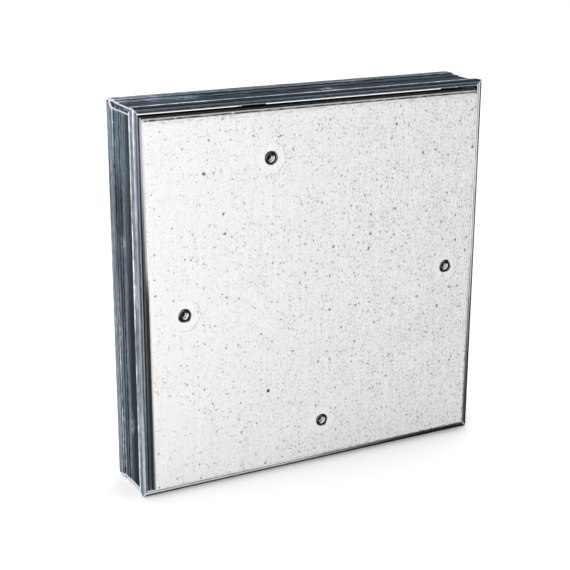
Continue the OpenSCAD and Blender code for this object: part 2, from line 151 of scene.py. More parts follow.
def rise(tree, value, low, high):
    """A soft step from 0 at low to 1 at high. It falls where low is above high."""
    if low < high:
        return slope(tree, value, low, high, 0, 1, "SMOOTHSTEP")
    return slope(tree, value, high, low, 1, 0, "SMOOTHSTEP")


def within(tree, value, low, high, soft):
    """1 between low and high, 0 outside, with soft ends."""
    begun = rise(tree, value, low - soft, low + soft)
    return product(tree, begun, rise(tree, value, high + soft, high - soft))


def measure(tree, operation, *vectors):
    """A number worked out from vectors, such as a distance."""
    return add(tree, "VectorMath", enumerate(vectors), operation=operation).outputs["Value"]


def split(tree, vector):
    """The three parts of a vector."""
    return add(tree, "SeparateXYZ", {0: vector}).outputs


def moved(tree, place, **settings):
    """A place that is shifted, turned or scaled by a Mapping node's settings."""
    return add(tree, "Mapping", {"Vector": place, **settings}).outputs[0]


def grain(tree, place, scale, detail, rough, stretch=(1, 1, 1)):
    """Noise from 0 to 1 at a place in metres. Stretch is the number of grains along each axis."""
    stretched = moved(tree, place, Scale=stretch)
    settings = {"Vector": stretched, "Scale": scale, "Detail": detail, "Roughness": rough}
    return add(tree, "TexNoise", settings).outputs[0]


def opaque(colour):
    """A colour with its alpha. A single number stands for a grey."""
    return (*colour, 1) if isinstance(colour, tuple) else (colour, colour, colour, 1)


def ramp(tree, share, stops):
    """A colour that follows share through (place, colour) stops."""
    made = add(tree, "ValToRGB", {"Fac": share})
    points = made.color_ramp.elements
    while len(points) < len(stops):
        points.new(0.5)
    for point, (place, colour) in zip(points, stops):
        point.position = place
        point.color = opaque(colour)
    return made.outputs["Color"]


def tint(tree, share, under, over, blend_type="MIX"):
    """Lays one colour over another by a share."""
    colours = {
        socket: colour if isinstance(colour, bpy.types.NodeSocket) else opaque(colour)
        for socket, colour in ((6, under), (7, over))
    }
    return add(tree, "Mix", {0: share, **colours}, data_type="RGBA", blend_type=blend_type).outputs[2]


def new_group(name, inputs, outputs):
    """An empty node group. Returns its tree, what it is given and the node that takes its results."""
    tree = bpy.data.node_groups.new(name, "ShaderNodeTree")
    for label, kind in inputs:
        tree.interface.new_socket(name=label, in_out="INPUT", socket_type="NodeSocket" + kind)
    for label, kind in outputs:
        tree.interface.new_socket(name=label, in_out="OUTPUT", socket_type="NodeSocket" + kind)
    return tree, tree.nodes.new("NodeGroupInput").outputs, tree.nodes.new("NodeGroupOutput")


def use_group(tree, group, inputs):
    """Places a node group in a tree and returns its outputs."""
    return add(tree, "Group", inputs, node_tree=group).outputs


def new_finish(name, metallic=0.0):
    """A material with a bare shader. Returns it, its tree, its shader and the place on the piece."""
    finish = bpy.data.materials.new(name)
    finish.use_nodes = True
    tree = finish.node_tree
    shader = tree.nodes["Principled BSDF"]
    shader.inputs["Metallic"].default_value = metallic
    return finish, tree, shader, add(tree, "TexCoord").outputs["Object"]


def bump(tree, height, distance, strength=1.0):
    """A normal from a height that changes over the surface."""
    return add(tree, "Bump", {"Height": height, "Distance": distance, "Strength": strength}).outputs[0]


def finish_node(name, finish):
    """Gives a node of the frame its material."""
    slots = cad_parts[name].data.materials
    slots.clear()
    slots.append(finish)


# the streaks that a die leaves along an extrusion: wide soft ones, hair-fine ones and short smears
streaks, given, result = new_group(
    "drawn_streaks",
    [("Place", "Vector"), ("Seed", "Float")],
    [("Broad", "Float"), ("Fine", "Float"), ("Smear", "Float")],
)
seed_step = add(streaks, "CombineXYZ", {axis: given["Seed"] for axis in "XYZ"}).outputs[0]
streak_place = add(streaks, "VectorMath", {0: given["Place"], 1: seed_step}, operation="ADD").outputs[0]
feed(
    streaks, result,
    Broad=grain(streaks, streak_place, 1, 5, 0.65, stretch=(16, 640, 640)),
    Fine=grain(streaks, streak_place, 1, 3, 0.6, stretch=(34, 1700, 1700)),
    Smear=grain(streaks, streak_place, 1, 4, 0.7, stretch=(150, 520, 520)),
)

# where a piece's edges are rubbed down to lighter metal
worn_edges, given, result = new_group(
    "worn_edges",
    [("Place", "Vector"), ("Reach", "Float")],
    [("Wear", "Float")],
)
rounded = add(worn_edges, "Bevel", {"Radius": given["Reach"]}, samples=6).outputs[0]
facing = add(worn_edges, "NewGeometry").outputs["Normal"]
edge = rise(worn_edges, measure(worn_edges, "DOT_PRODUCT", rounded, facing), 0.995, 0.86)
patchy = grain(worn_edges, given["Place"], 260, 3, 0.6)
feed(worn_edges, result, Wear=product(worn_edges, edge, rise(worn_edges, patchy, 0.25, 0.6)))

# sides counted anticlockwise from the bottom, as seen from the front
SIDES = ("bottom", "right", "top", "left")
frame_low, frame_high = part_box("frame_rail_bottom")
frame_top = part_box("frame_rail_top")[1].z
frame_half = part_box("frame_rail_right")[1].x
depth_mm = (frame_high.y - frame_low.y) * 1000
half_mm = frame_half * 1000
side_middle = (
    Vector((0, 0, 0)), Vector((frame_half, 0, frame_top / 2)),
    Vector((0, 0, frame_top)), Vector((-frame_half, 0, frame_top / 2)),
)


def on_rail(tree, place, side):
    """The place along a rail, behind its front face and in from its outer side, in millimetres."""
    middle = Matrix.Rotation(math.radians(90 * side), 3, "Y") @ side_middle[side]
    shift = Vector((-middle.x, -frame_low.y, -middle.z)) * 1000
    return moved(tree, place, Location=shift, Rotation=(0, math.radians(90 * side), 0), Scale=(1000,) * 3)


def bluish(grey):
    """The blue-grey of bare aluminium in one brightness: the darker, the bluer."""
    blueness = min(0.25, max(0.0, 0.34 - 0.37 * math.sqrt(grey)))
    return (grey * (1 - blueness), grey, grey * (1 + blueness))


def aluminium(tree, value, full, tones):
    """Bare aluminium by a value from 0 to full, through (place, brightness) pairs."""
    share = work_out(tree, "DIVIDE", value, full)
    return ramp(tree, share, [(at / full, bluish(grey)) for at, grey in tones])


# brightness of the outer skin by depth in millimetres: bead, ridge, wall, strip and rear band, for the level
# rails and for the upright ones at their lower and upper ends. The tables hold painted light: a painted
# highlight on the ridge, painted shade behind it, and tones set apart for level and upright rails and by
# height as light falls there
level_skin = (
    (0.0, 0.025), (2.0, 0.055), (4.9, 0.09), (5.5, 0.34), (6.2, 0.34), (6.6, 0.035), (14, 0.06), (18, 0.05),
    (26, 0.06), (28, 0.085), (31, 0.10), (34, 0.11), (38.2, 0.12), (39.2, 0.21), (44, 0.19), (47, 0.34),
    (49, 0.55),
)
lower_skin = (
    (0.0, 0.32), (2.0, 0.22), (4.6, 0.26), (5.2, 0.70), (6.5, 0.70), (6.9, 0.010), (14, 0.016), (17, 0.018),
    (20, 0.04), (21.6, 0.07), (23.2, 0.08), (23.7, 0.17), (28.5, 0.19), (30.9, 0.16), (31.3, 0.028),
    (34.2, 0.04), (34.6, 0.14), (35.4, 0.32), (38.6, 0.36), (39.0, 0.08), (40.2, 0.09), (40.6, 0.24),
    (42, 0.26), (47.8, 0.33), (48.4, 0.16), (49, 0.16),
)
upper_skin = (
    (0.0, 0.34), (2.0, 0.26), (4.6, 0.28), (5.3, 0.90), (6.5, 0.90), (7.0, 0.03), (15, 0.045), (18, 0.09),
    (21, 0.17), (24, 0.17), (26, 0.09), (28.5, 0.09), (30, 0.10), (32, 0.06), (35, 0.07), (38, 0.10),
    (40, 0.22), (44, 0.26), (49, 0.25),
)
# brightness of bead and lip in front, by the distance from the outer side in millimetres, one table for each
# side; these are painted highlights and painted shade, with a painted light line along the inner edge of the
# top rail's lip
lip_in = 4.75
face_tones = (
    ((0, 0.10), (1.2, 0.05), (1.8, 0.05), (2.2, 0.55), (2.7, 1.0), (lip_in, 0.95)),
    ((0, 0.04), (1.9, 0.06), (2.3, 0.50), (2.9, 0.95), (lip_in, 0.90)),
    ((0, 0.02), (1.1, 0.03), (1.8, 0.15), (2.5, 0.15), (2.9, 0.03), (4.0, 0.04), (4.25, 0.34), (lip_in, 0.34)),
    ((0, 0.06), (1.0, 0.26), (1.5, 0.36), (1.9, 0.46), (2.4, 0.13), (3.1, 0.11), (3.8, 0.28), (lip_in, 0.22)),
)
# the left front again at its lower and its upper end, where painted highlights make it bright
left_low_face = ((0, 0.38), (1.0, 0.45), (1.9, 0.56), (2.4, 0.42), (2.9, 0.19), (3.1, 0.14), (lip_in, 0.15))
left_high_face = (
    (0, 0.30), (0.5, 0.36), (1.0, 0.50), (1.9, 0.50), (2.4, 0.22), (3.1, 0.26), (3.8, 0.36), (lip_in, 0.24),
)
# heights in metres where the upright rails' lower tones give way to the upper ones
skin_turns = (0.10, 0.27)
low_face_ends, high_face_starts = (0.085, 0.03), (0.20, 0.265)
# soft steps in millimetres behind the front: front face, beads' shoulders, wall, burr at the ends
front_ends, shoulder_ends, wall_starts, burr_starts = (0.55, 0.35), (4.2, 3.0), (6.9, 7.3), (1.6, 2.4)
# soft steps in millimetres in from the outer side: bead, outer skin, inner faces in painted shade, and the
# painted shadow on the ends
bead_ends, outer_skin_ends, inner_starts, end_shadow_ends = (3.1, 2.7), (2.0, 1.8), (1.9, 2.3), (0.95, 0.75)
# painted shade: how much the fronts darken towards the lower right corner and how dark the beads' shoulders
# are; and how much bare metal shows on the shoulders
shade_corner, shade_reach = (frame_half, frame_low.y, 0.0), (0.20, 0.03)
shade_by_side = (0.93, 0.78, 0.25, 0.0)
shoulder_shade = (0.45, 0.12, 0.45, 1.0)
edge_wear, plain_wear = (0.25, 0.08, 0.40, 0.12), 0.45
# painted light: the skin is painted lighter near the upper left corner, most of all on the strip, whose depths
# are in millimetres
painted_light_corner, painted_light_reach = (-frame_half, frame_low.y, frame_top), (0.085, 0.040)
painted_light_gain, strip_gain = (1.35, 1.35, 1.33), (2.3, 2.3, 2.25)
strip_depths = (27, 39, 1.5)
# what the streaks do to the brightness; the gain makes up for the three that are multiplied, and the fronts
# have less of it all
broad_tones = [(0.3, 0.20), (0.5, 0.5), (0.68, 1.0)]
smear_tones = [(0.3, 0.22), (0.5, 0.55), (0.68, 1.0)]
fine_tones = [(0.3, 0.35), (0.5, 0.6), (0.7, 1.0)]
streak_gain = 5.5
front_calm = 0.65
# how dark the painted shadow on the outer half of the rails' sawn ends is, and how much wider the burr is at
# their second end
end_shadow_share = (0.95, 0.0, 0.0, 0.0)
wide_burr = (0.0, 0.0, 0.0, 0.9)
# how far each rail's skin is cut back at its two ends, and the depths where that cut begins and bends
cut_back = ((2.5, 2.5), (2.5, 6.0), (2.0, 2.0), (6.0, 2.5))
cut_begins, cut_full, cut_bends, cut_ends = 2.0, 7.8, 36.4, 45.0
# soft steps for bare metal at the ends: how far a face looks along the rail, and in millimetres the burr
# past the cut and the joint at the mitre
endways_starts, burr_ends, joint_width = (0.5, 0.65), (0.9, 0.6), (0.25, 0.75, 0.12)
# dusty smears on the walls, by their places along the rail and in depth, and how far they reach both ways
smears = (((40, 20), (-85, 26)), ((70, 24), (-30, 18)), ((-20, 22), (95, 30)), ((-42, 27), (97, 22)))
smear_long, smear_wide = 11, 6
smear_fades, smear_clouds = (1.1, 0.2), (0.42, 0.62)
dust_grey, dust_rough = (0.40, 0.42, 0.44), 0.7
inner_painted_shade = (0.075, 0.076, 0.078)
painted_shade_dark, bead_painted_shade, end_shadow_black = (0.02, 0.02, 0.021), (0.010, 0.010, 0.011), (0.012, 0.012, 0.013)
sawn_bright = (0.86, 0.89, 0.92)

for side, side_name in enumerate(SIDES):
    rail_finish, tree, shader, place = new_finish("mill_aluminium_painted_light_" + side_name, metallic=1.0)
    laid = on_rail(tree, place, side)
    along, depth, inset = split(tree, laid)
    height = split(tree, place)[2]
    # the skin's tones by depth, with painted light near the upper left corner
    skins = [
        aluminium(tree, depth, depth_mm, tones)
        for tones in ((level_skin,), (lower_skin, upper_skin))[side % 2]
    ]
    skin = tint(tree, rise(tree, height, *skin_turns), skins[0], skins[-1])
    painted_light = rise(tree, measure(tree, "DISTANCE", place, painted_light_corner), *painted_light_reach)
    painted_light = product(tree, painted_light, rise(tree, depth, *wall_starts))
    skin = tint(tree, painted_light, skin, painted_light_gain, "MULTIPLY")
    painted_light_strip = product(tree, painted_light, within(tree, depth, *strip_depths))
    skin = tint(tree, painted_light_strip, skin, strip_gain, "MULTIPLY")
    # painted shade: the rails' inner faces are painted one dark grey
    skin = tint(tree, rise(tree, inset, *inner_starts), skin, inner_painted_shade)
    # the front's tones from the outer side inwards, with painted shade towards the lower right corner
    face = aluminium(tree, inset, lip_in, face_tones[side])
    if side_name == "left":
        low_face = aluminium(tree, inset, lip_in, left_low_face)
        high_face = aluminium(tree, inset, lip_in, left_high_face)
        face = tint(tree, rise(tree, height, *low_face_ends), face, low_face)
        face = tint(tree, rise(tree, height, *high_face_starts), face, high_face)
    dull = rise(tree, measure(tree, "DISTANCE", place, shade_corner), *shade_reach)
    dull = product(tree, dull, shade_by_side[side])
    face = tint(tree, dull, face, painted_shade_dark, "MULTIPLY")
    face = tint(tree, product(tree, dull, rise(tree, inset, *bead_ends)), face, bead_painted_shade)
    # painted shade on the beads' shoulders, darkest on the right rail
    shoulder = rise(tree, depth, *shoulder_ends)
    skin = tint(tree, shoulder, skin, shoulder_shade[side], "MULTIPLY")
    front = rise(tree, depth, *front_ends)
    skin = tint(tree, front, skin, face)
    # the streaks of the die
    metres = add(tree, "VectorMath", {0: laid, 3: 0.001}, operation="SCALE").outputs[0]
    drawn = use_group(tree, streaks, {"Place": metres, "Seed": 0.37 * side + 0.1})
    broad = ramp(tree, drawn["Broad"], broad_tones)
    smear = ramp(tree, drawn["Smear"], smear_tones)
    hair = tint(tree, 1.0, ramp(tree, drawn["Fine"], fine_tones), streak_gain, "MULTIPLY")
    texture = tint(tree, 1.0, tint(tree, 1.0, smear, broad, "MULTIPLY"), hair, "MULTIPLY")
    skin = tint(tree, linear(tree, front, -front_calm, 1.0), skin, texture, "MULTIPLY")
    # dusty smears, matt and less metallic
    outer_skin = rise(tree, inset, *outer_skin_ends)
    clouds = grain(tree, place, 300, 4, 0.65)
    rough = ramp(tree, drawn["Smear"], [(0.3, 0.30), (0.7, 0.48)])
    metal = 1.0
    for spot_along, spot_depth in smears[side]:
        shrunk = moved(
            tree, laid, Location=(-spot_along / smear_long, -spot_depth / smear_wide, 0),
            Scale=(1 / smear_long, 1 / smear_wide, 0),
        )
        near = rise(tree, measure(tree, "LENGTH", shrunk), *smear_fades)
        smeared = product(tree, near, rise(tree, clouds, *smear_clouds), outer_skin)
        skin = tint(tree, product(tree, smeared, 0.8), skin, dust_grey)
        rough = tint(tree, smeared, rough, dust_rough)
        metal = linear(tree, smeared, -0.5, metal)
    # bare metal where the ends are sawn, along the cut's edge, at the mitre and on rubbed edges
    facing = add(tree, "NewGeometry").outputs["Normal"]
    endways = work_out(tree, "ABSOLUTE", split(tree, facing)[2 * (side % 2)])
    sawn = rise(tree, endways, *endways_starts)
    from_end = work_out(tree, "SUBTRACT", half_mm, work_out(tree, "ABSOLUTE", along))
    second_end = work_out(tree, "GREATER_THAN", along, 0)
    at_start, at_end = cut_back[side]
    full_cut = linear(tree, second_end, at_end - at_start, at_start)
    begun = slope(tree, depth, cut_begins, cut_full)
    bent = slope(tree, depth, cut_bends, cut_ends)
    bow = work_out(tree, "SQRT", work_out(tree, "SUBTRACT", 1, work_out(tree, "POWER", bent, 2)))
    cut = product(tree, full_cut, work_out(tree, "MINIMUM", begun, bow))
    past_cut = work_out(tree, "SUBTRACT", from_end, cut)
    past_cut = work_out(tree, "SUBTRACT", past_cut, product(tree, second_end, wide_burr[side]))
    burr = product(tree, rise(tree, past_cut, *burr_ends), rise(tree, depth, *burr_starts), outer_skin)
    joint = within(tree, work_out(tree, "SUBTRACT", from_end, inset), *joint_width)
    rubbed = use_group(tree, worn_edges, {"Place": place, "Reach": 0.0004})
    worn = product(tree, rubbed["Wear"], linear(tree, shoulder, edge_wear[side] - plain_wear, plain_wear))
    bare = strongest(tree, burr, joint, sawn, worn)
    skin = tint(tree, product(tree, bare, 0.9), skin, sawn_bright)
    # painted shadow: the outer half of the bottom rail's sawn ends is painted near black
    end_shadow = product(tree, sawn, rise(tree, inset, *end_shadow_ends), end_shadow_share[side])
    skin = tint(tree, end_shadow, skin, end_shadow_black)
    metal = linear(tree, bare, -0.6, metal)
    shader.inputs["Specular Tint"].default_value = (0.55, 0.56, 0.57, 1)
    normal = bump(tree, drawn["Fine"], 0.00003)
    feed(tree, shader, Base_Color=skin, Metallic=metal, Roughness=rough, Normal=normal)
    finish_node("frame_rail_" + side_name, rail_finish)

# Corner keys. Angles sawn from a plain aluminium profile and pushed into the rails' chambers; the
# rails are crimped on them. Only their bend shows, in the frame's open corners, painted mostly dark as painted
# shade.
CORNERS = ("bottom_left", "bottom_right", "top_right", "top_left")
key_finish, tree, shader, place = new_finish("sawn_aluminium_painted_shade", metallic=1.0)
rubbed = use_group(tree, worn_edges, {"Place": place, "Reach": 0.0005})
cloudy = grain(tree, place, 140, 5, 0.65)
saw_marks = grain(tree, place, 1, 3, 0.6, stretch=(300, 2400, 300))
key_painted_shade_tones = [(0.3, (0.02, 0.022, 0.025)), (0.52, (0.055, 0.06, 0.066)), (0.66, (0.55, 0.57, 0.60))]
metal = ramp(tree, cloudy, key_painted_shade_tones)
metal = tint(tree, product(tree, rubbed["Wear"], 0.7), metal, (0.80, 0.82, 0.84))
rough = ramp(tree, cloudy, [(0.3, 0.62), (0.7, 0.38)])
feed(tree, shader, Base_Color=metal, Roughness=rough, Normal=bump(tree, saw_marks, 0.00008))
for corner in CORNERS:
    finish_node("corner_key_" + corner, key_finish)


# Gypsum board. The leaf is a square of gypsum fibre board, sawn to size and bare, to be tiled over.
# Its front edges are rubbed and chipped, and four stepped holes are bored in it for the catch screws.
def select_only(piece):
    """Leaves one piece selected and active."""
    bpy.ops.object.select_all(action="DESELECT")
    piece.select_set(True)
    bpy.context.view_layer.objects.active = piece


def carve(piece, cutter):
    """Cuts one piece by another, which is used up."""
    cut = piece.modifiers.new("cut", "BOOLEAN")
    cut.operation = "DIFFERENCE"
    cut.solver = "EXACT"
    cut.object = cutter
    select_only(piece)
    bpy.ops.object.modifier_apply(modifier=cut.name)
    bpy.data.objects.remove(cutter)


def seat(piece, name, finish, slot, body, *nodes):
    """Names a finished piece, gives it its material and hands it to its body in place of its nodes."""
    piece.name = name
    piece.data.materials.clear()
    piece.data.materials.append(finish)
    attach(piece, body)
    if nodes:
        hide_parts(*nodes)


def post(radius, front, back, x, z, vertices=48):
    """A round bar along Y between two depths."""
    bpy.ops.mesh.primitive_cylinder_add(
        vertices=vertices, radius=radius, depth=back - front, location=(x, (front + back) / 2, z),
        rotation=(math.radians(90), 0, 0),
    )
    return bpy.context.active_object


screw_axis = []
for side_name in SIDES:
    low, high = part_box("board_screw_" + side_name)
    screw_axis.append(((low.x + high.x) / 2, (low.z + high.z) / 2))
board_low, board_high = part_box("gypsum_board")
board_half = board_high.x
board_middle = Vector((0, board_low.y, (board_low.z + board_high.z) / 2))
edge_round = 0.0007
grid_step = 0.0015
flat_half = board_half - edge_round
grid_count = round(2 * flat_half / grid_step)

bpy.ops.object.select_all(action="DESELECT")
bpy.ops.mesh.primitive_grid_add(
    x_subdivisions=grid_count, y_subdivisions=grid_count, size=2 * flat_half,
    location=board_middle, rotation=(math.radians(90), 0, 0),
)
board = bpy.context.active_object
bpy.ops.object.transform_apply(location=True, rotation=True, scale=True)
bpy.ops.object.mode_set(mode="EDIT")
bpy.ops.mesh.select_mode(type="EDGE")
bpy.ops.mesh.select_all(action="DESELECT")
bpy.ops.mesh.select_non_manifold()
reach, depth_now = flat_half, 0.0
for angle in (30, 60, 90):
    wide = flat_half + edge_round * math.sin(math.radians(angle))
    deep = edge_round * (1 - math.cos(math.radians(angle)))
    bpy.ops.mesh.extrude_edges_move(TRANSFORM_OT_translate={"value": (0, deep - depth_now, 0)})
    bpy.ops.transform.resize(value=(wide / reach, 1, wide / reach), center_override=board_middle)
    reach, depth_now = wide, deep
board_thick = board_high.y - board_low.y
bpy.ops.mesh.extrude_edges_move(TRANSFORM_OT_translate={"value": (0, board_thick - depth_now, 0)})
bpy.ops.mesh.edge_face_add()
bpy.ops.mesh.select_all(action="SELECT")
bpy.ops.mesh.normals_make_consistent(inside=False)
bpy.ops.object.mode_set(mode="OBJECT")

recess_r = 0.00525
recess_deep = 0.0068
bore_r = 0.0033
overrun = 0.001
for radius, back in ((recess_r, board_low.y + recess_deep), (bore_r, board_high.y + overrun)):
    bpy.ops.object.select_all(action="DESELECT")
    cutters = [post(radius, board_low.y - overrun, back, x, z) for x, z in screw_axis]
    for cutter in cutters:
        cutter.select_set(True)
    bpy.ops.object.join()
    carve(board, bpy.context.active_object)

# chips along the front edges, deepest at the top, small dents in the face and one deep chip low on the left
chipped_width = 0.0024
chip_deep = 0.0011
top_gain = 1.7
dent_deep = 0.00045
clear_of_screws = 0.007
chip_place = Vector((-0.0444, board_low.y, 0.070))
chip_r, deep_chip = 0.0016, 0.0009
for corner in board.data.vertices:
    spot = corner.co
    from_edge = board_half - max(abs(spot.x), abs(spot.z - board_middle.z))
    if spot.y > board_low.y + chip_deep:
        continue
    ragged = noise.noise(spot * 420) + 0.6 * noise.noise(spot * 1100)
    if from_edge < chipped_width:
        loss = max(0.0, ragged - 0.12) * (1 - from_edge / chipped_width)
        gain = top_gain if spot.z > board_high.z - chipped_width else 1.0
        corner.co.y += chip_deep * gain * loss
    elif min(math.hypot(spot.x - x, spot.z - z) for x, z in screw_axis) > clear_of_screws:
        corner.co.y += dent_deep * max(0.0, noise.noise(spot * 330) - 0.52)
    from_chip = math.hypot(spot.x - chip_place.x, (spot.z - chip_place.z) * 0.8)
    corner.co.y += deep_chip * max(0.0, 1 - from_chip / chip_r)
select_only(board)
bpy.ops.object.shade_smooth_by_angle(angle=math.radians(32))

# the specks of bark and paper in the board, in one size and in the plane of a sheet
fibre_specks, given, result = new_group(
    "fibre_specks",
    [("Sheet", "Vector"), ("Scale", "Float"), ("Share", "Float"), ("Size", "Float")],
    [("Speck", "Float"), ("Darkness", "Float")],
)
speck_bend = 0.0030
wobble = add(fibre_specks, "TexNoise", {"Vector": given["Sheet"], "Scale": 620, "Detail": 3}).outputs["Color"]
bending = {0: wobble, 1: (speck_bend,) * 3, 2: given["Sheet"]}
bent = add(fibre_specks, "VectorMath", bending, operation="MULTIPLY_ADD").outputs[0]
tall = moved(fibre_specks, bent, Scale=(1.1, 0.85, 1.0))
cells = add(fibre_specks, "TexVoronoi", {"Vector": tall, "Scale": given["Scale"]}, voronoi_dimensions="2D")
chance, size, dark = add(fibre_specks, "SeparateColor", {0: cells.outputs["Color"]}).outputs
there = work_out(fibre_specks, "LESS_THAN", chance, given["Share"])
radius = product(fibre_specks, given["Size"], linear(fibre_specks, size, 0.8, 0.35))
speck = rise(fibre_specks, work_out(fibre_specks, "DIVIDE", cells.outputs["Distance"], radius), 1.45, 0.45)
feed(fibre_specks, result, Speck=product(fibre_specks, speck, there), Darkness=dark)

# the paste between them: off-white and a little yellower in blotches; painted shade makes it slightly darker,
# with stronger texture, towards the right
paste_tones = [(0.3, (0.822, 0.822, 0.817)), (0.5, (0.827, 0.827, 0.827)), (0.7, (0.822, 0.812, 0.793))]
fibre_tones = [(0.32, 0.90), (0.5, 1.0), (0.68, 1.03)]
line_tones = [(0.36, 0.965), (0.5, 1.0), (0.64, 1.01)]
mottle_tones = [(0.34, 0.66), (0.5, 0.97), (0.6, 1.0)]
# rows of specks: cells in a metre, share of cells with one, size, and the lightest and darkest grey
speck_rows = ((80, 0.30, 0.080, 0.28, 0.04), (190, 0.50, 0.14, 0.46, 0.18), (420, 0.60, 0.22, 0.62, 0.36))
# round the screws, in metres from their axes: the part rubbed clean, a ring mark and the near black patch over
# each recess and its rim
clean_ends = (0.0120, 0.0100)
ring_mark = (0.0136, 0.0141, 0.0003)
dark_rim_ends = (0.0070, 0.0065)
# along the edges, in metres: the torn band and the painted shadow at the top, nicks, and how the board's sides
# darken
torn_ends, top_shadow_ends, nick_ends = (0.0050, 0.0034), (0.0015, 0.0011), (0.0015, 0.0006)
side_starts = (board_low.y + 0.0004, board_low.y + 0.0009)
sides_dark_tones = [(0.1, 0.15), (0.5, 0.25), (0.7, 0.50), (0.88, 0.85)]
# painted shade of a wider gap beside the left edging: its width at the bottom, the heights where it narrows to
# nothing and fades, and the soft steps of its rim, strip and seam
gap_shade_wide, gap_shade_tall, gap_shade_fades = 0.0013, 0.185, (0.19, 0.15)
gap_shade_rim, gap_shade_strip, gap_shade_seam = (0.0016, 0.0004), (0.0003, -0.0001), (0.0006, 0.0003)
# the deep chip's shadow, and a rusty spot at the upper left with a halo
chip_shadow = (0.0017, 0.0011)
rust_place = (-0.0968, board_low.y, 0.2484)
rust_halo, rust_core = (0.0028, 0.0012), (0.0015, 0.0010)
board_finish, tree, shader, place = new_finish("gypsum_fibre")
x, y, z = split(tree, place)
# the sheet leans through the board, so that each of its faces cuts through the specks in its own way
sheet = add(tree, "CombineXYZ", {"X": linear(tree, y, 0.83, x), "Y": linear(tree, y, 0.57, z)}).outputs[0]
blotches = grain(tree, place, 34, 4, 0.6)
fibres = grain(tree, place, 1, 4, 0.6, stretch=(1000, 1000, 50))
laid_lines = grain(tree, place, 1, 2, 0.5, stretch=(520, 520, 34))
mottle = grain(tree, place, 1, 3, 0.7, stretch=(900, 900, 480))
rightness = linear(tree, x, 3.3, 0.5)
paste = ramp(tree, blotches, paste_tones)
paste = tint(tree, rightness, paste, 0.975, "MULTIPLY")
texture_shade_right = linear(tree, rightness, 0.6, 0.4)
for texture, tones in ((fibres, fibre_tones), (laid_lines, line_tones), (mottle, mottle_tones)):
    paste = tint(tree, texture_shade_right, paste, ramp(tree, texture, tones), "MULTIPLY")
# painted shade: the specks also grow denser towards the right
crowd = product(tree, linear(tree, grain(tree, place, 70, 4, 0.65), 4.8, -1.5), linear(tree, x, 4.9, 0.96))
clean_parts, ring_parts, dark_rim_parts = [], [], []
for axis_x, axis_z in screw_axis:
    axis = (axis_x, board_low.y, axis_z)
    away = add(tree, "VectorMath", {0: place, 1: axis}, operation="SUBTRACT").outputs[0]
    gap = measure(tree, "LENGTH", away)
    uneven = linear(tree, grain(tree, place, 160, 2, 0.5), 0.0030, gap)
    rightwards = measure(tree, "DOT_PRODUCT", away, (0.9, 0, -0.3))
    clean_parts.append(rise(tree, gap, *clean_ends))
    ring_parts.append(product(tree, within(tree, uneven, *ring_mark), rise(tree, rightwards, -0.004, 0.008)))
    dark_rim_parts.append(rise(tree, uneven, *dark_rim_ends))
rubbed_clean = strongest(tree, *clean_parts)
specks = []
for scale, share, size, light, shade in speck_rows:
    wanted = product(tree, crowd, share)
    found = use_group(tree, fibre_specks, {"Sheet": sheet, "Scale": scale, "Share": wanted, "Size": size})
    kept = product(tree, found["Speck"], linear(tree, rubbed_clean, -0.35, 1.0))
    paper, bark = (light, light, 0.97 * light), (shade, 0.96 * shade, 0.92 * shade)
    paste = tint(tree, kept, paste, ramp(tree, found["Darkness"], [(0, paper), (1, bark)]))
    specks.append(kept)
ragged = grain(tree, place, 520, 4, 0.65)
# short torn strokes of paper, in loose groups
strokes = grain(tree, sheet, 1, 4, 0.6, stretch=(430, 330, 1))
strokes = product(tree, rise(tree, strokes, 0.60, 0.72), rise(tree, crowd, 0.5, 1.3))
strokes = product(tree, strokes, linear(tree, rubbed_clean, -0.4, 1.0))
paste = tint(tree, product(tree, strokes, 0.55), paste, (0.40, 0.39, 0.37))
paste = tint(tree, product(tree, rubbed_clean, 0.22), paste, 0.88)
ring = product(tree, strongest(tree, *ring_parts), rise(tree, ragged, 0.36, 0.52))
paste = tint(tree, product(tree, ring, 0.75), paste, (0.34, 0.33, 0.33))
paste = tint(tree, strongest(tree, *dark_rim_parts), paste, (0.035, 0.035, 0.036))
# the torn band, and a painted shadow along the top edge
from_top = work_out(tree, "SUBTRACT", board_high.z, z)
dashes = grain(tree, place, 1, 4, 0.65, stretch=(170, 900, 750))
torn_band = rise(tree, from_top, *torn_ends)
paste = tint(tree, product(tree, torn_band, 0.4), paste, (0.74, 0.73, 0.735))
top_painted_shadow = product(tree, rise(tree, from_top, *top_shadow_ends), 0.97)
paste = tint(tree, top_painted_shadow, paste, (0.030, 0.030, 0.031))
torn = product(tree, torn_band, rise(tree, dashes, 0.46, 0.60), 0.6)
paste = tint(tree, torn, paste, (0.42, 0.40, 0.40))
# dark nicks on all edges, most of them at the lower right, and the board's sides and back painted darker, most
# towards the bottom
sideways = work_out(tree, "ABSOLUTE", x)
upright = work_out(tree, "ABSOLUTE", work_out(tree, "SUBTRACT", z, board_middle.z))
from_rim = work_out(tree, "SUBTRACT", board_half, strongest(tree, sideways, upright))
soiled = rise(tree, work_out(tree, "SUBTRACT", x, z), -0.20, 0.08)
nicks = product(tree, rise(tree, from_rim, *nick_ends), rise(tree, ragged, 0.48, 0.62))
paste = tint(tree, product(tree, nicks, linear(tree, soiled, 0.75, 0.15)), paste, 0.09)
behind_front = rise(tree, y, *side_starts)
sides_dark_tone = ramp(tree, work_out(tree, "DIVIDE", z, frame_top), sides_dark_tones)
paste = tint(tree, product(tree, behind_front, 0.8), paste, sides_dark_tone)
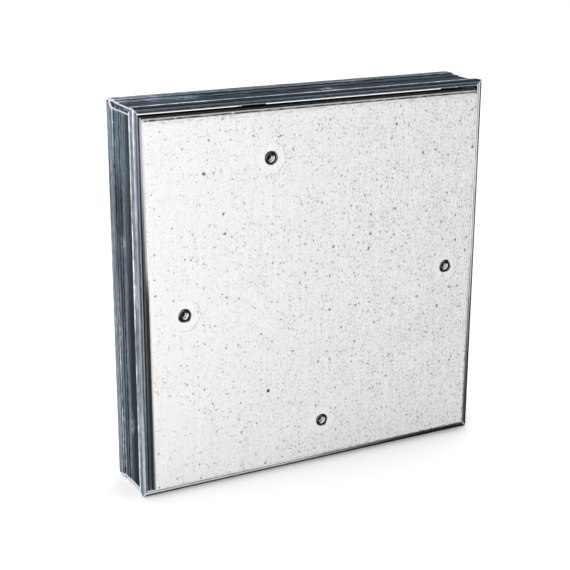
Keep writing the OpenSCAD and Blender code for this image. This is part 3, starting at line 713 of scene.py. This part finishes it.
# painted shade beside the left edging, standing in for a wider gap, widest at the bottom and gone at two
# thirds of the height: a lighter rim, a dark grey strip and a near black seam
from_left = work_out(tree, "ADD", x, board_half)
beyond = work_out(tree, "SUBTRACT", from_left, slope(tree, z, 0.0, gap_shade_tall, gap_shade_wide, 0.0))
low_left = product(tree, rise(tree, z, *gap_shade_fades), 0.92)
for band, gap_shade_tone in (
    (rise(tree, beyond, *gap_shade_rim), 0.50),
    (rise(tree, beyond, *gap_shade_strip), (0.098, 0.100, 0.103)),
    (rise(tree, from_left, *gap_shade_seam), 0.015),
):
    paste = tint(tree, product(tree, low_left, band), paste, gap_shade_tone)
# the deep chip and the rusty spot
from_chip = measure(tree, "DISTANCE", place, chip_place)
paste = tint(tree, rise(tree, from_chip, *chip_shadow), paste, (0.05, 0.045, 0.04))
rusted = measure(tree, "DISTANCE", place, rust_place)
rusted = linear(tree, work_out(tree, "SUBTRACT", ragged, 0.5), 0.004, rusted)
paste = tint(tree, rise(tree, rusted, *rust_halo), paste, (0.72, 0.60, 0.54))
paste = tint(tree, rise(tree, rusted, *rust_core), paste, (0.13, 0.10, 0.08))
raised = product(tree, work_out(tree, "ADD", fibres, mottle), 0.5)
surface = work_out(tree, "SUBTRACT", raised, strongest(tree, *specks[:2]))
shader.inputs["Specular IOR Level"].default_value = 0.25
feed(
    tree, shader, Base_Color=paste, Roughness=ramp(tree, fibres, [(0.3, 0.95), (0.7, 0.85)]),
    Normal=bump(tree, surface, 0.00012, 0.8),
)
seat(board, "board_of_gypsum_fibre", board_finish, "gypsum_fibre", "door_leaf", "gypsum_board")

# Door edging. Thin dark grey aluminium angle, mitred round the board and glued to it; satin, rubbed
# to bare metal here and there along its front edge.
edging_finish = []
# places in metres: where the painted light on the left upright begins, where its painted highlight begins, and
# where the top edge's painted shade begins
left_light_starts, highlight_starts, top_shade_starts = (-0.10, -0.14), (0.19, 0.275), (0.288, 0.290)
highlight_share = 0.8
for side, run in enumerate(("across", "upright")):
    finish, tree, shader, place = new_finish("dark_edging_" + run, metallic=0.6)
    turned_place = moved(tree, place, Rotation=(0, math.radians(90 * side), 0))
    drawn = use_group(tree, streaks, {"Place": turned_place, "Seed": 0.7})
    rubbed = use_group(tree, worn_edges, {"Place": place, "Reach": 0.0003})
    coat = ramp(tree, drawn["Broad"], [(0.3, (0.030, 0.031, 0.032)), (0.7, (0.100, 0.104, 0.108))])
    # painted light on the left upright, a painted highlight towards its top, and painted shade along the top
    # edge
    left_painted_light = rise(tree, split(tree, place)[0], *left_light_starts)
    coat = tint(tree, product(tree, left_painted_light, side), coat, (2.0, 2.0, 2.02), "MULTIPLY")
    height = split(tree, place)[2]
    coat = tint(tree, rise(tree, height, *top_shade_starts), coat, 0.35, "MULTIPLY")
    painted_highlight_top = product(tree, rise(tree, height, *highlight_starts), highlight_share * side)
    painted_highlight_top = product(tree, left_painted_light, painted_highlight_top)
    coat = tint(tree, painted_highlight_top, coat, (0.62, 0.63, 0.64))
    coat = tint(tree, product(tree, rubbed["Wear"], 0.6), coat, (0.42, 0.43, 0.45))
    rough = ramp(tree, drawn["Smear"], [(0.3, 0.38), (0.7, 0.55)])
    feed(tree, shader, Base_Color=coat, Roughness=rough, Normal=bump(tree, drawn["Fine"], 0.00002))
    edging_finish.append(finish)
for side, side_name in enumerate(SIDES):
    finish_node("door_edging_" + side_name, edging_finish[side % 2])

# Board screws. Blackened steel cap screws with a hexagon socket, sunk in the board; a painted highlight
# brightens each socket's lower right wall. They are turned, pressed and rolled in one piece.
screw_low, screw_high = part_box("board_screw_bottom")
head_r = screw_high.x - screw_axis[0][0]
head_h = 0.006
shank_r = 0.003
socket_r = 0.0050 / 2 / math.cos(math.radians(30))
socket_deep = 0.0032
drill_point = 0.0012
hair_breadth = 0.0001
# marks on the head, in metres from the axis: a painted highlight on the socket's wall, a painted highlight arc
# and the dusty rim
socket_highlight, arc_highlight_band, dusty_starts = (0.0021, 0.0033, 0.0002), (0.0036, 0.0041, 0.0002), (0.0061, 0.0064)


def pick_faces(piece, wanted):
    """In edit mode, selects the faces that wanted(face) says, by their place or normal."""
    bpy.ops.mesh.select_mode(type="FACE")
    bpy.ops.mesh.select_all(action="DESELECT")
    bpy.ops.object.mode_set(mode="OBJECT")
    for face in piece.data.polygons:
        face.select = wanted(face)
    bpy.ops.object.mode_set(mode="EDIT")


def off_axis(spot):
    """How far a spot lies from the first screw's axis."""
    return math.hypot(spot.x - screw_axis[0][0], spot.z - screw_axis[0][1])


def on_socket_floor(spot):
    """Whether a spot lies as deep as the socket's floor."""
    return abs(spot.y - screw_low.y - socket_deep) < hair_breadth


bpy.ops.object.select_all(action="DESELECT")
first_screw = post(head_r, screw_low.y, screw_low.y + head_h, *screw_axis[0], vertices=64)
bpy.ops.object.transform_apply(location=True, rotation=True, scale=True)
bpy.ops.object.mode_set(mode="EDIT")
pick_faces(first_screw, lambda face: face.normal.y < -0.9)
bpy.ops.mesh.bevel(offset=0.0007, segments=5)
pick_faces(first_screw, lambda face: face.normal.y > 0.9)
bpy.ops.mesh.inset(thickness=head_r - shank_r)
shank_long = screw_high.y - screw_low.y - head_h
bpy.ops.mesh.extrude_region_move(TRANSFORM_OT_translate={"value": (0, shank_long, 0)})
bpy.ops.mesh.bevel(offset=0.0005, segments=2)
bpy.ops.object.mode_set(mode="OBJECT")
socket = post(socket_r, screw_low.y - overrun, screw_low.y + socket_deep, *screw_axis[0], vertices=6)
carve(first_screw, socket)
bpy.ops.object.mode_set(mode="EDIT")
bpy.ops.mesh.select_mode(type="EDGE")
bpy.ops.mesh.select_all(action="DESELECT")
bpy.ops.object.mode_set(mode="OBJECT")
for rim in first_screw.data.edges:
    ends = [first_screw.data.vertices[index].co for index in rim.vertices]
    rim.select = all(
        end.y < screw_low.y + hair_breadth and off_axis(end) < socket_r + hair_breadth for end in ends
    )
bpy.ops.object.mode_set(mode="EDIT")
bpy.ops.mesh.bevel(offset=0.0003, segments=3)
pick_faces(first_screw, lambda face: on_socket_floor(face.center) and face.normal.y < -0.9)
bpy.ops.mesh.poke()
bpy.ops.object.mode_set(mode="OBJECT")
for corner in first_screw.data.vertices:
    if off_axis(corner.co) < hair_breadth and on_socket_floor(corner.co):
        corner.co.y += drill_point
select_only(first_screw)
bpy.ops.object.shade_smooth_by_angle(angle=math.radians(35))


def about_screw(tree, place, side, front=0.0):
    """The place seen from a screw's axis, its depth behind front and its distance from the axis."""
    axis_x, axis_z = screw_axis[side]
    centred = moved(tree, place, Location=(-axis_x, -front, -axis_z))
    across, deep, up = split(tree, centred)
    squares = work_out(tree, "ADD", work_out(tree, "POWER", across, 2.0), work_out(tree, "POWER", up, 2.0))
    return centred, deep, work_out(tree, "SQRT", squares)


for side, side_name in enumerate(SIDES):
    screw_finish, tree, shader, place = new_finish("blackened_steel_" + side_name, metallic=1.0)
    centred, deep, off = about_screw(tree, place, side, screw_low.y)
    dull = grain(tree, place, 900, 4, 0.65)
    black = ramp(tree, dull, [(0.3, (0.007, 0.007, 0.008)), (0.7, (0.030, 0.030, 0.029))])
    # a painted highlight on the socket's wall: bright and less metallic on its lower right side
    lit_side = measure(tree, "DOT_PRODUCT", centred, (0.76, 0, -0.65))
    bare = product(tree, within(tree, off, *socket_highlight), rise(tree, deep, 0.0040, 0.0032))
    bare = product(tree, bare, rise(tree, lit_side, 0.0008, 0.0018))
    black = tint(tree, bare, black, 0.95)
    metal = linear(tree, bare, -0.75, 1.0)
    # a painted highlight arc on the head's upper left, rubbed edges, and board dust smeared over the head's
    # rim
    arc_highlight = product(tree, within(tree, off, *arc_highlight_band), rise(tree, lit_side, -0.0020, -0.0034))
    black = tint(tree, product(tree, arc_highlight, 0.45), black, 0.75)
    rubbed = use_group(tree, worn_edges, {"Place": place, "Reach": 0.0003})
    black = tint(tree, product(tree, rubbed["Wear"], 0.35), black, (0.35, 0.35, 0.36))
    dusty = linear(tree, grain(tree, place, 420, 3, 0.6), 0.0022, off)
    dusty = product(tree, rise(tree, dusty, *dusty_starts), rise(tree, deep, 0.0012, 0.0006))
    black = tint(tree, product(tree, dusty, 0.9), black, (0.70, 0.70, 0.69))
    metal = linear(tree, dusty, -0.8, metal)
    rough = ramp(tree, dull, [(0.3, 0.30), (0.7, 0.55)])
    feed(tree, shader, Base_Color=black, Metallic=metal, Roughness=rough, Normal=bump(tree, dull, 0.00003))
    screw = first_screw
    if side:
        select_only(first_screw)
        bpy.ops.object.duplicate()
        screw = bpy.context.active_object
        screw.location = (screw_axis[side][0] - screw_axis[0][0], 0, screw_axis[side][1] - screw_axis[0][1])
        bpy.ops.object.transform_apply(location=True)
    seat(screw, "cap_screw_" + side_name, screw_finish, "black_steel", "door_leaf", "board_screw_" + side_name)

# Corner plates and catch brackets. Flat angles punched from zinc-plated sheet, riveted behind the
# edging's corners, and bent angles of the same sheet on the frame. The plating has dulled in patches.
zinc_finish, tree, shader, place = new_finish("zinc_plate", metallic=1.0)
flakes = add(tree, "TexVoronoi", {"Vector": place, "Scale": 190}).outputs["Color"]
flake = add(tree, "SeparateColor", {0: flakes}).outputs[0]
clouds = grain(tree, place, 120, 5, 0.6)
rubbed = use_group(tree, worn_edges, {"Place": place, "Reach": 0.0004})
zinc = ramp(tree, clouds, [(0.3, (0.34, 0.36, 0.38)), (0.55, (0.52, 0.54, 0.56)), (0.75, (0.62, 0.62, 0.60))])
zinc = tint(tree, 1.0, zinc, ramp(tree, flake, [(0.0, 0.88), (1.0, 1.1)]), "MULTIPLY")
zinc = tint(tree, product(tree, rubbed["Wear"], 0.6), zinc, (0.80, 0.81, 0.82))
rough = ramp(tree, clouds, [(0.3, 0.55), (0.7, 0.34)])
feed(tree, shader, Base_Color=zinc, Roughness=rough, Normal=bump(tree, clouds, 0.00004))
for corner in CORNERS:
    finish_node("corner_plate_" + corner, zinc_finish)
for side_name in SIDES:
    finish_node("catch_bracket_" + side_name, zinc_finish)

# Rivets. Blind rivets of bright aluminium: one group fixes the corner plates to the edging, the other
# one the brackets' feet to the frame.
rivet_finish, tree, shader, place = new_finish("bright_rivet", metallic=1.0)
clouds = grain(tree, place, 700, 4, 0.6)
bright = ramp(tree, clouds, [(0.3, (0.45, 0.46, 0.48)), (0.7, (0.74, 0.75, 0.77))])
rough = ramp(tree, clouds, [(0.3, 0.42), (0.7, 0.25)])
feed(tree, shader, Base_Color=bright, Roughness=rough, Normal=bump(tree, clouds, 0.00004))
finish_node("corner_plate_rivets", rivet_finish)
finish_node("bracket_rivets", rivet_finish)

# Keeper discs. Mild steel discs faced in a lathe and tapped for the board screws; they keep the fine
# rings that the tool left and a thin film of oil.
for side, side_name in enumerate(SIDES):
    disc_finish, tree, shader, place = new_finish("turned_steel_" + side_name, metallic=1.0)
    deep, off = about_screw(tree, place, side)[1:]
    tool_path = {"W": work_out(tree, "ADD", off, deep), "Scale": 5200, "Detail": 2}
    turned = add(tree, "TexNoise", tool_path, noise_dimensions="1D").outputs[0]
    oily = grain(tree, place, 160, 4, 0.6)
    rubbed = use_group(tree, worn_edges, {"Place": place, "Reach": 0.0004})
    steel = ramp(tree, oily, [(0.3, (0.22, 0.21, 0.20)), (0.7, (0.46, 0.46, 0.46))])
    steel = tint(tree, 1.0, steel, ramp(tree, turned, [(0.3, 0.75), (0.7, 1.2)]), "MULTIPLY")
    steel = tint(tree, product(tree, rubbed["Wear"], 0.6), steel, 0.75)
    rough = ramp(tree, oily, [(0.3, 0.28), (0.7, 0.42)])
    feed(tree, shader, Base_Color=steel, Roughness=rough, Normal=bump(tree, turned, 0.00002))
    finish_node("keeper_disc_" + side_name, disc_finish)

# Pot magnets. Nickel-plated steel cups with a dark sintered ring glued in each, held to the brackets
# by zinc-plated screws and nuts.
nickel_finish, tree, shader, place = new_finish("nickel_plate", metallic=1.0)
clouds = grain(tree, place, 220, 4, 0.6)
rubbed = use_group(tree, worn_edges, {"Place": place, "Reach": 0.0003})
nickel = ramp(tree, clouds, [(0.3, (0.52, 0.50, 0.47)), (0.7, (0.70, 0.69, 0.66))])
nickel = tint(tree, product(tree, rubbed["Wear"], 0.4), nickel, (0.85, 0.84, 0.82))
rough = ramp(tree, clouds, [(0.3, 0.30), (0.7, 0.18)])
feed(tree, shader, Base_Color=nickel, Roughness=rough, Normal=bump(tree, clouds, 0.00002))
magnet_finish, tree, shader, place = new_finish("sintered_magnet")
sinter = grain(tree, place, 2200, 4, 0.7)
dark = ramp(tree, sinter, [(0.3, (0.022, 0.022, 0.024)), (0.7, (0.075, 0.074, 0.076))])
rough = ramp(tree, sinter, [(0.3, 0.75), (0.7, 0.5)])
feed(tree, shader, Base_Color=dark, Roughness=rough, Normal=bump(tree, sinter, 0.00006))
fastener_finish, tree, shader, place = new_finish("zinc_fastener", metallic=1.0)
clouds = grain(tree, place, 600, 4, 0.6)
rubbed = use_group(tree, worn_edges, {"Place": place, "Reach": 0.0003})
zinc = ramp(tree, clouds, [(0.3, (0.40, 0.41, 0.42)), (0.7, (0.66, 0.67, 0.66))])
zinc = tint(tree, product(tree, rubbed["Wear"], 0.5), zinc, 0.84)
rough = ramp(tree, clouds, [(0.3, 0.42), (0.7, 0.28)])
feed(tree, shader, Base_Color=zinc, Roughness=rough, Normal=bump(tree, clouds, 0.00003))
for side_name in SIDES:
    finish_node("magnet_cup_" + side_name, nickel_finish)
    finish_node("ring_magnet_" + side_name, magnet_finish)
finish_node("magnet_screws", fastener_finish)
finish_node("magnet_nuts", fastener_finish)
